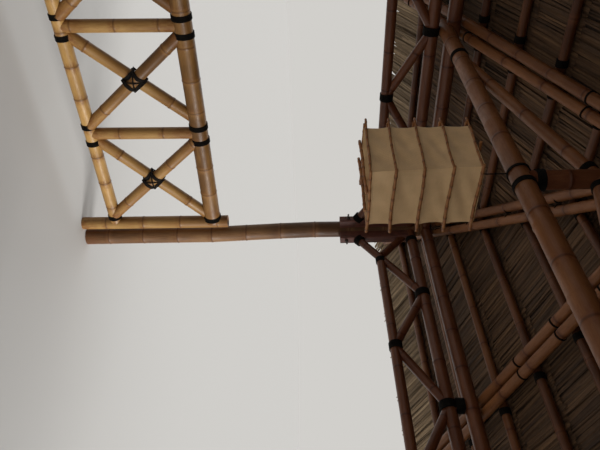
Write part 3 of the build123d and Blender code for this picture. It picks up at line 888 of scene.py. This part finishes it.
def skin(x, z, reach, offset, face):
    """Depth of two crossed sticks' front (-1) or back (1) surface at a place seen along Y.

    The falling stick's axis lies offset in front of the crossing, the rising one's behind.
    """
    depths = [axis + face * math.sqrt(reach ** 2 - off ** 2)
              for axis, off in ((-offset, (x + z) / 1.414), (offset, (x - z) / 1.414))
              if abs(off) < reach]
    if not depths:
        return face * reach * 0.3
    return min(depths) if face < 0 else max(depths)


def brace_radius():
    return (middle("top_rail_back").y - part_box("railing_braces_falling_back")[0].y) / 1.5


def brace_lines(kind):
    """Foot and top of each brace of the back railing, left to right."""
    top, low = middle("top_rail_back"), middle("bottom_rail_back")
    heights = low.z + LOW_LIFT + 0.008, top.z - 0.008
    y = top.y + BRACE_DEPTHS[kind]
    braces = sorted(axes_of(f"railing_braces_{kind}_back"), key=lambda brace: brace[0].x)
    return [[Vector((centre.x + along.x / along.z * (z - centre.z)
                     + (y - centre.y) * SIGHT + slip, y, z))
             for z, slip in zip(heights, slips)]
            for (centre, along, _, _), slips in zip(braces, BRACE_SLIPS[kind])]


def star_lashing(stick, offset, rope):
    """Diamond of rope bundles over the four arms of two crossed sticks, packed into the
    corners between them, with a cross of rope over its middle."""
    strands = []
    # five closed rings of rope on either face, each inside the one before
    for face in (-1, 1):
        for k in range(5):
            corner, waist = 2.02 * stick - k * rope * 0.9, 1.36 * stick - k * rope * 0.8
            ring = []
            for step in range(48):
                angle = math.radians(7.5 * step)
                out = corner + (waist - corner) * abs(math.sin(2 * angle)) ** 0.8
                x, z = 0.95 * out * math.cos(angle), 1.05 * out * math.sin(angle)
                ring.append((x, skin(x, z, stick + rope * 0.5, offset, face), z))
            route = []
            for step, (x, y, z) in enumerate(ring):
                mean = sum(ring[(step + n) % 48][1] for n in (-2, -1, 0, 1, 2)) / 5
                route.append((x, min(mean, y) if face < 0 else max(mean, y), z))
            strands.append(tube("bundle", route, rope * 0.56, closed=True, sides=6))
    # two strands each way across the front
    for turn in (0, 1):
        for k in (-0.42, 0.42):
            route = []
            for step in range(-6, 7):
                along = step * stick * 0.29
                x, z = (k * rope, along) if turn else (along, k * rope)
                route.append((x, skin(x, z, stick + rope * (0.4 + 0.5 * turn), offset, -1), z))
            strands.append(tube("cross", route, rope * 0.4, sides=6))
    # four short strands in each corner, from face to face
    for quarter in range(4):
        turn = Matrix.Rotation(math.radians(90 * quarter), 4, "Y")
        for k in range(4):
            out, deep = 1.5 * stick + k * rope * 0.85, stick - k * rope * 0.7
            route = [turn @ Vector((out, y * deep, z)) for y, z in
                     ((-1, -0.004), (-0.4, 0.003), (0.4, -0.003), (1, 0.004))]
            strands.append(tube("knot", route, rope * 0.65, sides=6))
    return join(strands, "star")


def crossing(one, other):
    """Where two poles cross, seen along Y."""
    a, b = one[0], other[0]
    u, v = one[1] - a, other[1] - b
    step = ((b.x - a.x) * v.z - (b.z - a.z) * v.x) / (u.x * v.z - u.z * v.x)
    return Vector((a.x + step * u.x, 0, a.z + step * u.z))


class LashRailings(bpy.types.Operator):
    """Rope bands beside each upright and star lashings where the braces cross"""
    bl_idname = "gazebo.lash_railings"
    bl_label = "Railing lashings"

    def execute(self, context):
        top, top_radius = pole_facts("top_rail_back", 0)
        low, low_radius = pole_facts("bottom_rail_back", 0)
        low = low + Vector((0, 0, LOW_LIFT))
        wall = top.y
        low_end, high_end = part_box("railing_posts_back")
        end = (high_end.x - low_end.x) / 2 - RAIL_POST - RING - 0.056
        places = []
        # one band on each side of an upright, lower down further left, since it leans
        for x in UPRIGHTS:
            for s in (-1, 1):
                places += [((x + s * 0.051 - 0.016, wall, top.z), (1, 0, 0), top_radius, 6),
                           ((x + s * 0.060 - 0.030, wall, low.z), (1, 0, 0), low_radius, 6)]
        # one band beside each end post
        for s in (-1, 1):
            places += [((s * end, wall, top.z), (1, 0, 0), top_radius, 6),
                       ((s * end - 0.032, wall, low.z), (1, 0, 0), low_radius, 6)]
        near, far = BRACE_DEPTHS["falling"], BRACE_DEPTHS["rising"]
        middle_plane = Vector((0, wall + (near + far) / 2, 0))
        crossings = [crossing(*pair) + middle_plane
                     for pair in zip(brace_lines("rising"), brace_lines("falling"))]
        for side in RAILED:
            wind_bands("lashings_rails_" + side, turned(places, side))
            star = star_lashing(brace_radius(), (far - near) / 2,
                                context.scene.gazebo_sizes.rope)
            chance = random.Random(side)
            spots = [(quarter_turn(side) @ Matrix.Translation(spot)
                      @ Matrix.Rotation(chance.uniform(-0.08, 0.08), 4, "Y"), 0.5)
                     for spot in crossings]
            name = "lashings_stars_" + side
            settle(copies(star, spots, name), name, rope_finish(), (), 60)
        return {"FINISHED"}


class TieRoofPoles(bpy.types.Operator):
    """Black cord round the purlins beside each rafter pair, and round the rafters"""
    bl_idname = "gazebo.tie_roof_poles"
    bl_label = "Roof ties"

    def execute(self, context):
        cord = context.scene.gazebo_sizes.wire
        chance = random.Random("ties")
        wraps, loops = [], []
        for side in SIDES:
            for centre, along, half, radius in axes_of("purlins_" + side):
                # beside the common rafters in the middle and beside the hip rafters
                wraps += [(centre + along * s * place, along, radius, 6)
                          for place in (0.080, half - 0.112) if place > 0.07
                          for s in (-1, 1)]
        # a tie below each purlin, half a pair of rafters' width off; a share of the common
        # rafters' ties is kept
        for node, gap, share in (("hip_rafters", 0.034, None), ("common_rafters", 0.030, 0.6)):
            for centre, along, half, radius in axes_of(node):
                if along.z > 0:
                    along = -along
                reach = max(abs(along.x), abs(along.y))
                for k in range(7):
                    step = (purlin(k) + gap - max(abs(centre.x), abs(centre.y))) / reach
                    if abs(step) < half - 0.03 and (not share or chance.random() < share):
                        tilt = along + Vector((chance.uniform(-0.12, 0.12),
                                               chance.uniform(-0.12, 0.12), 0))
                        loops.append((centre + along * step, tilt.normalized(), radius, 2))
        wind_bands("ties_purlins", wraps, cord * 1.3, 12)
        wind_bands("ties_rafters", loops, cord, 16)
        return {"FINISHED"}


# ---------- thatch
def leaf(size, width, curl, droop, tip, steps):
    """A leaf along +Y from its head at the origin: a strip folded along its midrib."""
    bpy.ops.object.select_all(action="DESELECT")
    bpy.ops.mesh.primitive_grid_add(x_subdivisions=2, y_subdivisions=steps, size=1.0)
    blade = bpy.context.view_layer.objects.active
    bpy.ops.transform.resize(value=(width, size, 1))
    bpy.ops.transform.translate(value=(0, size / 2, 0))
    bpy.ops.object.transform_apply(location=True, rotation=True, scale=True)
    write_attribute(blade.data, "grain", points_of(blade.data))
    for vertex in blade.data.vertices:
        along = vertex.co.y / size
        # the last 28 % narrows to the tip
        vertex.co.x *= 1.0 - (1.0 - tip) * max(0.0, (along - 0.72) / 0.28) ** 1.4
        side = vertex.co.x / (width / 2)
        vertex.co.z = curl * abs(side) - droop * along ** 2
    return blade


def roof_plane():
    """Eaves reach, height of the thatch's underside over the middle, and slope."""
    slope = math.tan(bpy.context.scene.gazebo_sizes.roof_pitch)
    low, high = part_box("thatch_back")
    return high.y, low.z + slope * high.y, slope


def slope_place(roof, x, d, height, heading, lift=0.0):
    """Matrix of a leaf's head on the slope that faces +Y."""
    _, peak, slope = roof
    return (Matrix.Translation((x, d, peak - slope * d))
            @ Matrix.Rotation(-bpy.context.scene.gazebo_sizes.roof_pitch, 4, "X")
            @ Matrix.Translation((0, 0, height)) @ Matrix.Rotation(heading, 4, "Z")
            @ Matrix.Rotation(lift, 4, "X"))


def sewn_panel(name, strips, breadth, pitch, chance):
    """A panel of leaf strips sewn side by side along X, head at y = 0."""
    places = [[] for _ in strips]
    x = -breadth / 2
    while x < breadth / 2:
        places[chance.randrange(len(strips))].append((
            Matrix.Translation((x, chance.uniform(-0.010, 0.010), chance.uniform(0, 0.003)))
            @ Matrix.Rotation(chance.gauss(0, 0.022), 4, "Z")
            @ Matrix.Rotation(chance.gauss(0, 0.008), 4, "X")
            @ Matrix.Rotation(chance.gauss(0, 0.22), 4, "Y"),
            min(1.0, max(0.0, chance.gauss(0.5, 0.26)))))
        x += pitch * chance.uniform(0.7, 1.35)
    return spread_out(name, strips, places)


def spread_out(name, models, places):
    """Copies each model to its places and joins them all; a model without one goes."""
    for model, spots in zip(models, places):
        if not spots:
            bpy.data.objects.remove(model)
    return join([copies(model, spots, name) for model, spots in zip(models, places) if spots],
                name)


def sewn_panels(name, blades, breadth, pitch, chance):
    """Three panels of the same kinds of leaf."""
    return [sewn_panel(name, [leaf(*blade) for blade in blades], breadth, pitch, chance)
            for _ in range(3)]


def lay_side(side, kind, models, breadth, rows, finish):
    """Lays rows (head's plan distance, height, lift) of panels across one side and cuts
    them at the two hip planes."""
    roof = roof_plane()
    name = f"thatch_{kind}_{side}"
    chance = random.Random(kind + side)
    places = [[] for _ in models]
    for d, height, lift in rows:
        # far enough across for the wider row's width 0.36 m further down
        reach = d + 0.36 + breadth / 2
        x = -reach + chance.uniform(0, breadth)
        while x < reach:
            places[chance.randrange(len(models))].append((slope_place(
                roof, x, d + chance.uniform(-0.010, 0.010), height, chance.gauss(0, 0.012),
                lift + chance.gauss(0, 0.004)), chance.uniform(0.2, 0.8)))
            x += breadth * chance.uniform(0.94, 1.0)
    piece = spread_out(name, models, places)
    for normal in ((1, -1, 0), (-1, -1, 0)):
        with editing(piece):
            bpy.ops.mesh.bisect(plane_co=(0, 0, 0), plane_no=normal, clear_outer=True)
    piece.data.transform(quarter_turn(side))
    settle(piece, name, finish, (), 0)


class LayInnerThatch(bpy.types.Operator):
    """Leaves seen from below, tied to the purlins course by course"""
    bl_idname = "gazebo.lay_inner_thatch"
    bl_label = "Thatch from below"

    def execute(self, context):
        sizes, colours = context.scene.gazebo_sizes, context.scene.gazebo_colours
        width, breadth = sizes.strip_width, 0.34
        leaves = reuse("dry_inner_leaf", dry_leaf, colours.leaf)
        # painted shade: the dark finish of the thatch core seen through the gaps
        core_shade_finish = reuse("packed_leaf", thatch_gap_shade, colours.leaf)
        # two layers to a course, each course hung a little above its purlin
        heads = [max(0.01, purlin(k - 1) - 0.03) for k in range(8)]
        rows = [(head, *layer) for head in heads for layer in ((0.001, 0.022), (0.006, 0.020))]
        for side in SIDES:
            models = sewn_panels("panel", [(0.40, width * 1.2, -0.003, 0.0, 0.7, 3),
                                           (0.38, width * 0.8, -0.002, -0.004, 0.8, 3),
                                           (0.41, width, 0.002, 0.003, 0.6, 3),
                                           (0.39, width * 0.6, 0.001, 0.002, 0.9, 3)],
                                 breadth, sizes.strip_pitch, random.Random("strips" + side))
            lay_side(side, "inner", models, breadth, rows, leaves)
            # the imported leaf between the layers, its underside raised behind the strips,
            # painted dark as shade
            core = merged_copy("thatch_" + side, "thatch_core_" + side)
            with editing(core, "DESELECT"):
                pass  # only clears the selection
            for face in core.data.polygons:
                face.select = face.normal.z < -0.8
            bpy.ops.object.mode_set(mode="EDIT")
            bpy.ops.transform.translate(value=(0, 0, 0.017))
            bpy.ops.object.mode_set(mode="OBJECT")
            settle(core, "thatch_core_" + side, core_shade_finish, ["thatch_" + side], 0)
        return {"FINISHED"}


class LayOuterThatch(bpy.types.Operator):
    """Shaggy courses on top of the roof, with the layered edge at the eaves"""
    bl_idname = "gazebo.lay_outer_thatch"
    bl_label = "Thatch from above"

    def execute(self, context):
        sizes = context.scene.gazebo_sizes
        width, breadth, reach = sizes.leaf_width, 0.36, roof_plane()[0]
        leaves = reuse("weathered_outer_leaf", dry_leaf, context.scene.gazebo_colours.weathered)
        heads = [max(0.02, k * (reach / sizes.courses) - 0.055) for k in range(sizes.courses)]
        rows = [(head, THICK + height, lift) for head in heads
                for height, lift in ((0.003, 0.045), (0.010, 0.038))]
        # the cut edge at the eaves, six layers thick, with a fringe past the last purlin
        rows += [(reach - 0.31 + eaves, height, lift) for height, eaves, lift in
                 ((0.002, 0.100, -0.090), (0.005, 0.092, -0.060), (0.009, 0.085, -0.035),
                  (0.016, 0.070, -0.010), (0.028, 0.040, 0.0), (0.042, 0.0, 0.0))]
        for side in SIDES:
            models = sewn_panels("panel", [(0.34, width * 1.2, -0.004, 0.006, 0.35, 4),
                                           (0.31, width, -0.003, 0.010, 0.25, 4),
                                           (0.36, width * 0.8, 0.003, 0.004, 0.45, 4)],
                                 breadth, sizes.leaf_pitch, random.Random("blades" + side))
            lay_side(side, "outer", models, breadth, rows, leaves)
        return {"FINISHED"}


class FoldHipLeaves(bpy.types.Operator):
    """Leaves folded over the four hips and round the peak"""
    bl_idname = "gazebo.fold_hip_leaves"
    bl_label = "Hip and peak leaves"

    def execute(self, context):
        sizes, colours = context.scene.gazebo_sizes, context.scene.gazebo_colours
        leaves = reuse("weathered_outer_leaf", dry_leaf, colours.weathered)
        for node in ("hip_caps", "peak_cap"):
            piece = dress_culms(node, leaves)
            piece.name = piece.data.name = node + "_leaf"
        chance = random.Random("hips")
        roof, width = roof_plane(), sizes.leaf_width
        made = []
        for side in SIDES:
            models = sewn_panels("tuft", [(0.24, width * 1.2, -0.003, 0.022, 0.3, 4),
                                          (0.21, width, -0.002, 0.030, 0.4, 4)],
                                 0.09, sizes.leaf_pitch, chance)
            places = [[] for _ in models]
            # pairs of tufts all the way down the hips
            d = 0.10
            while d < roof[0] - 0.10:
                for hip in (-1, 1):
                    places[chance.randrange(len(models))].append((slope_place(
                        roof, hip * d, d, 0.085 + chance.uniform(0, 0.006),
                        hip * math.radians(chance.uniform(32, 48))), chance.uniform(0.2, 0.7)))
                d += 0.052
            # rings of tufts round the peak
            for d, count in ((0.02, 5), (0.10, 5), (0.18, 6)):
                for k in range(count):
                    across = (k / (count - 1) - 0.5) * 2
                    places[chance.randrange(len(models))].append((slope_place(
                        roof, across * d, d, 0.106 - d * 0.05, across * math.radians(-34)),
                        chance.uniform(0.2, 0.7)))
            bunch = spread_out("hips", models, places)
            bunch.data.transform(quarter_turn(side))
            made.append(bunch)
        settle(join(made, "hip_leaves"), "hip_leaves", leaves, (), 0)
        return {"FINISHED"}


# ---------- lantern
def lantern_twist(point):
    """The lantern hangs turned on its cord and a little twisted, and its sticks have been
    pushed out by the stretched cloth."""
    low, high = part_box("lantern_cloth")
    centre = (low + high) / 2
    level = (centre.z - point.z) / ((high.z - low.z) / 2)
    swell = Matrix.Diagonal((LANTERN_WIDER, LANTERN_WIDER, LANTERN_TALLER, 1))
    return (Matrix.Translation(centre + Vector((0, 0.005, 0)))
            @ Matrix.Rotation(math.radians(LANTERN_TURN + LANTERN_TWIST * level), 4, "Z")
            @ swell @ Matrix.Translation(-centre))


class BendTwigs(bpy.types.Operator):
    """Crooked twigs laid log-cabin fashion round the lantern"""
    bl_idname = "gazebo.bend_twigs"
    bl_label = "Lantern twigs"

    def execute(self, context):
        chance = random.Random("twigs")
        poles = axes_of("lantern_frame")
        half, radius = poles[0][2], poles[0][3]
        # a crooked line along Z, swollen at the nodes
        nodes = (-0.112, -0.068, -0.012, 0.031, 0.083, 0.128)
        route, widths = [], []
        for step in range(59):
            z = -half + 2 * half * step / 58
            gap = min(abs(z - node) for node in nodes)
            route.append((0.0016 * math.sin(19 * z + 1.0), 0.0011 * math.sin(31 * z), z))
            widths.append(1.0 + (0.17 if gap < 0.0035 else 0.0) + 0.05 * math.sin(23 * z))
        models = []
        for k, thick in enumerate((1.10, 0.84)):
            model = tube("twig", route, radius * thick, sides=10, smooth=False, radii=widths)
            points = points_of(model.data)
            write_attribute(model.data, "grain", points + (k, 0, half))
            write_attribute(model.data, "rings",
                            np.tile((0.034, 0.0485, 2 * half), (len(points), 1)))
            models.append(model)
        centre = middle("lantern_cloth")
        places = ([], [])
        for spot, along, _, _ in poles:
            thin = abs(along.y) > 0.5 and abs(spot.x - centre.x) > 0.1
            if along.x + along.y < 0:
                along = -along
            tilt = Matrix.Rotation(chance.gauss(0, 0.006), 4, "X")
            if thin:
                # butted behind the front stick at the near end, laid on it at the far end
                spot = spot + Vector((0, 0.010, -0.0075))
                along = (along + Vector((0, 0, 0.026))).normalized()
            places[thin].append((lantern_twist(spot) @ turned_to(
                along, spot, chance.choice((0.0, 1.57, 3.14, 4.71))) @ tilt,
                chance.uniform(0.1, 0.9)))
        piece = spread_out("twigs", models, places)
        # two windings at each corner of each level
        cords = []
        reach = max(abs(spot.x - centre.x) for spot, along, _, _ in poles if abs(along.y) > 0.5)
        for level in sorted({round(spot.z, 3) for spot, along, _, _ in poles
                             if abs(along.x) > 0.5}):
            for sx, sy in ((-1, -1), (-1, 1), (1, -1), (1, 1)):
                spot = Vector((centre.x + sx * reach, centre.y + sy * reach, level + 0.002))
                knot = lantern_twist(spot) @ spot
                cords += [(knot - Vector((sx * 0.004, 0, 0)), (1, 0.25 * sx * sy, 0.1),
                           radius * 1.25, 3),
                          (knot - Vector((0, sy * 0.009, 0)), (0.2, 1, -0.1),
                           radius * 1.1, 2)]
        wind_bands("lashings_lantern", cords, 0.0022, 10)
        settle(piece, "lantern_twigs", rind("twig"), ["lantern_frame"], 40)
        return {"FINISHED"}


class HangCloth(bpy.types.Operator):
    """Cotton stretched round the lantern, pulled in between the twigs"""
    bl_idname = "gazebo.hang_cloth"
    bl_label = "Lantern cloth"

    def execute(self, context):
        sizes, colours = context.scene.gazebo_sizes, context.scene.gazebo_colours
        finish = reuse("unbleached_cotton", cotton_cloth, colours.cloth)
        low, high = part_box("lantern_cloth")
        centre = (low + high) / 2
        half = (high.x - low.x) / 2 - 0.0005  # just inside the solid's outer face
        tall = high.z - low.z
        levels = sorted({round(spot.z, 3) for spot, along, _, _ in axes_of("lantern_frame")
                         if abs(along.y) > 0.5 and abs(spot.x) > 0.1})
        levels = [low.z - 0.004, *levels[1:-1], high.z + 0.004]
        bpy.ops.object.select_all(action="DESELECT")
        bpy.ops.mesh.primitive_grid_add(x_subdivisions=256, y_subdivisions=96, size=1.0)
        cloth = bpy.context.view_layer.objects.active
        chance = random.Random("cloth")
        # soft creases 50 to 120 mm apart that run down to the right, and pleats 18 mm apart
        folds = [(chance.uniform(18, 60), chance.uniform(40, 110), chance.uniform(0, 6.3))
                 for _ in range(7)]
        for vertex in cloth.data.vertices:
            around = (vertex.co.x + 0.5) * 4 % 4
            z = low.z + tall * (vertex.co.y + 0.5)
            face, part = int(around) % 4, around % 1
            row = max(k for k in range(len(levels) - 1) if z >= levels[k])
            band = (z - levels[row]) / (levels[row + 1] - levels[row])
            pull = (4 * band * (1 - band)) ** 0.7
            corner = abs(2 * part - 1)
            x = around * 2 * half
            crease = sum(math.sin(a * x + b * z + c + 2.1 * row) for a, b, c in folds)
            pleat = math.sin(350 * x + 1.7 * math.sin(30 * z + row)) * corner ** 4
            sag = 0.9 + 0.25 * math.sin(3 * row + face)
            out = half - sizes.cloth_dip * pull * sag * (0.45 + 0.55 * (1 - corner ** 3))
            out -= (0.00085 * (crease + 3) * (1.2 - corner ** 2) + 0.0004 * pleat) * pull
            side = (part - 0.5) * 2 * (half - sizes.cloth_dip * pull * 0.75)
            point = Matrix.Rotation(math.radians(-90 * face), 3, "Z") @ Vector((side, out, 0))
            place = Vector((centre.x + point.x, centre.y + point.y, z))
            vertex.co = lantern_twist(place) @ place
        with editing(cloth):
            bpy.ops.mesh.remove_doubles(threshold=0.0001)
            bpy.ops.mesh.normals_make_consistent(inside=False)
        settle(cloth, "lantern_cloth_tube", finish, ["lantern_cloth"], 60)
        return {"FINISHED"}


class DressCord(bpy.types.Operator):
    """Black cord that carries the lantern"""
    bl_idname = "gazebo.dress_cord"
    bl_label = "Lantern cord"

    def execute(self, context):
        finish_solid("lantern_cord", rope_finish())
        return {"FINISHED"}


# ---------- stage
class SetStage(bpy.types.Operator):
    """Pale floor, soft studio light, and the camera under the roof"""
    bl_idname = "gazebo.set_stage"
    bl_label = "Stage, light and camera"

    def execute(self, context):
        scene, colours = context.scene, context.scene.gazebo_colours
        bpy.ops.object.select_all(action="DESELECT")
        bpy.ops.mesh.primitive_plane_add(size=120)
        floor = context.view_layer.objects.active
        floor.name = floor.data.name = "floor"
        floor.data.materials.append(reuse("matt_studio_floor", painted_floor, colours.floor))

        world = bpy.data.worlds.new("studio")
        world.use_nodes = True
        scene.world = world
        tree = world.node_tree
        ray = add_node(tree, "LightPath")
        seen = maths(tree, "MAXIMUM", ray.outputs["Is Camera Ray"],
                     ray.outputs["Is Transmission Ray"])
        light = add_node(tree, "Background", {"Color": (1, 1, 1, 1), "Strength": 0.39})
        sight = add_node(tree, "Background", {"Color": (*linear("#d1cfcb"), 1),
                                              "Strength": 1.0})
        both = add_node(tree, "MixShader", {0: seen, 1: light.outputs[0],
                                            2: sight.outputs[0]})
        tree.links.new(both.outputs[0], tree.nodes["World Output"].inputs["Surface"])

        # broad soft lamps, far off so that the floor is lit evenly
        for name, heading, height, width, power in (
                ("key_softbox", -58, 17, 26, 3.65), ("fill_softbox", 80, 24, 60, 0.6),
                ("top_softbox", 20, 62, 70, 0.9)):
            data = bpy.data.lights.new(name, "SUN")
            data.angle, data.energy = math.radians(width), power
            lamp = added(name, data)
            spot = Matrix.Rotation(math.radians(heading), 3, "Z") @ Vector(
                (math.cos(math.radians(height)), 0, math.sin(math.radians(height))))
            lamp.location = spot * 12
            lamp.rotation_euler = spot.to_track_quat("Z", "Y").to_euler()

        # the camera stands just outside the open front, and lies on its side
        eye = Matrix.Translation((-1.2914, -1.7825, 1.5842))
        yaw, pitch, roll = (math.radians(a) for a in (39.673, -0.7564, -1.3791))
        ahead = Vector((math.sin(yaw) * math.cos(pitch), math.cos(yaw) * math.cos(pitch),
                        math.sin(pitch)))
        level = Vector((math.cos(yaw), -math.sin(yaw), 0))
        above = level.cross(ahead)
        right = level * math.cos(roll) + above * math.sin(roll)
        up = above * math.cos(roll) - level * math.sin(roll)
        data = bpy.data.cameras.new("camera")
        data.sensor_fit, data.sensor_width, data.lens = "HORIZONTAL", 36.0, 35.485
        data.clip_start = 0.05
        camera = added("camera", data)
        turn = Matrix((up, -right, -ahead)).transposed().to_4x4()
        camera.matrix_world = eye @ turn
        scene.camera = camera
        scene.view_settings.view_transform = "Standard"
        return {"FINISHED"}


# ---------- panel and run
OPERATORS = (DressPosts, DressTrusses, DressRoofPoles, DressRailings, DressBlocks,
             LashTrusses, LashBeams, LashRailings, TieRoofPoles, LayInnerThatch,
             LayOuterThatch, FoldHipLeaves, BendTwigs, HangCloth, DressCord, SetStage)


class GazeboPanel(bpy.types.Panel):
    """Sizes, colours and every step of the dressing"""
    bl_idname = "VIEW3D_PT_gazebo"
    bl_label = "Bamboo gazebo"
    bl_space_type = "VIEW_3D"
    bl_region_type = "UI"
    bl_category = "Gazebo"

    def draw(self, context):
        for group in (context.scene.gazebo_sizes, context.scene.gazebo_colours):
            for name in group.__annotations__:
                self.layout.prop(group, name)
        for operator in OPERATORS:
            self.layout.operator(operator.bl_idname)


CLASSES = (GazeboSizes, GazeboColours, *OPERATORS, GazeboPanel)


def register():
    for item in CLASSES:
        bpy.utils.register_class(item)
    bpy.types.Scene.gazebo_sizes = PointerProperty(type=GazeboSizes)
    bpy.types.Scene.gazebo_colours = PointerProperty(type=GazeboColours)


def unregister():
    del bpy.types.Scene.gazebo_sizes
    del bpy.types.Scene.gazebo_colours
    for item in reversed(CLASSES):
        bpy.utils.unregister_class(item)


def main():
    register()
    for operator in OPERATORS:
        group, name = operator.bl_idname.split(".")
        getattr(getattr(bpy.ops, group), name)()


if __name__ == "__main__":
    main()
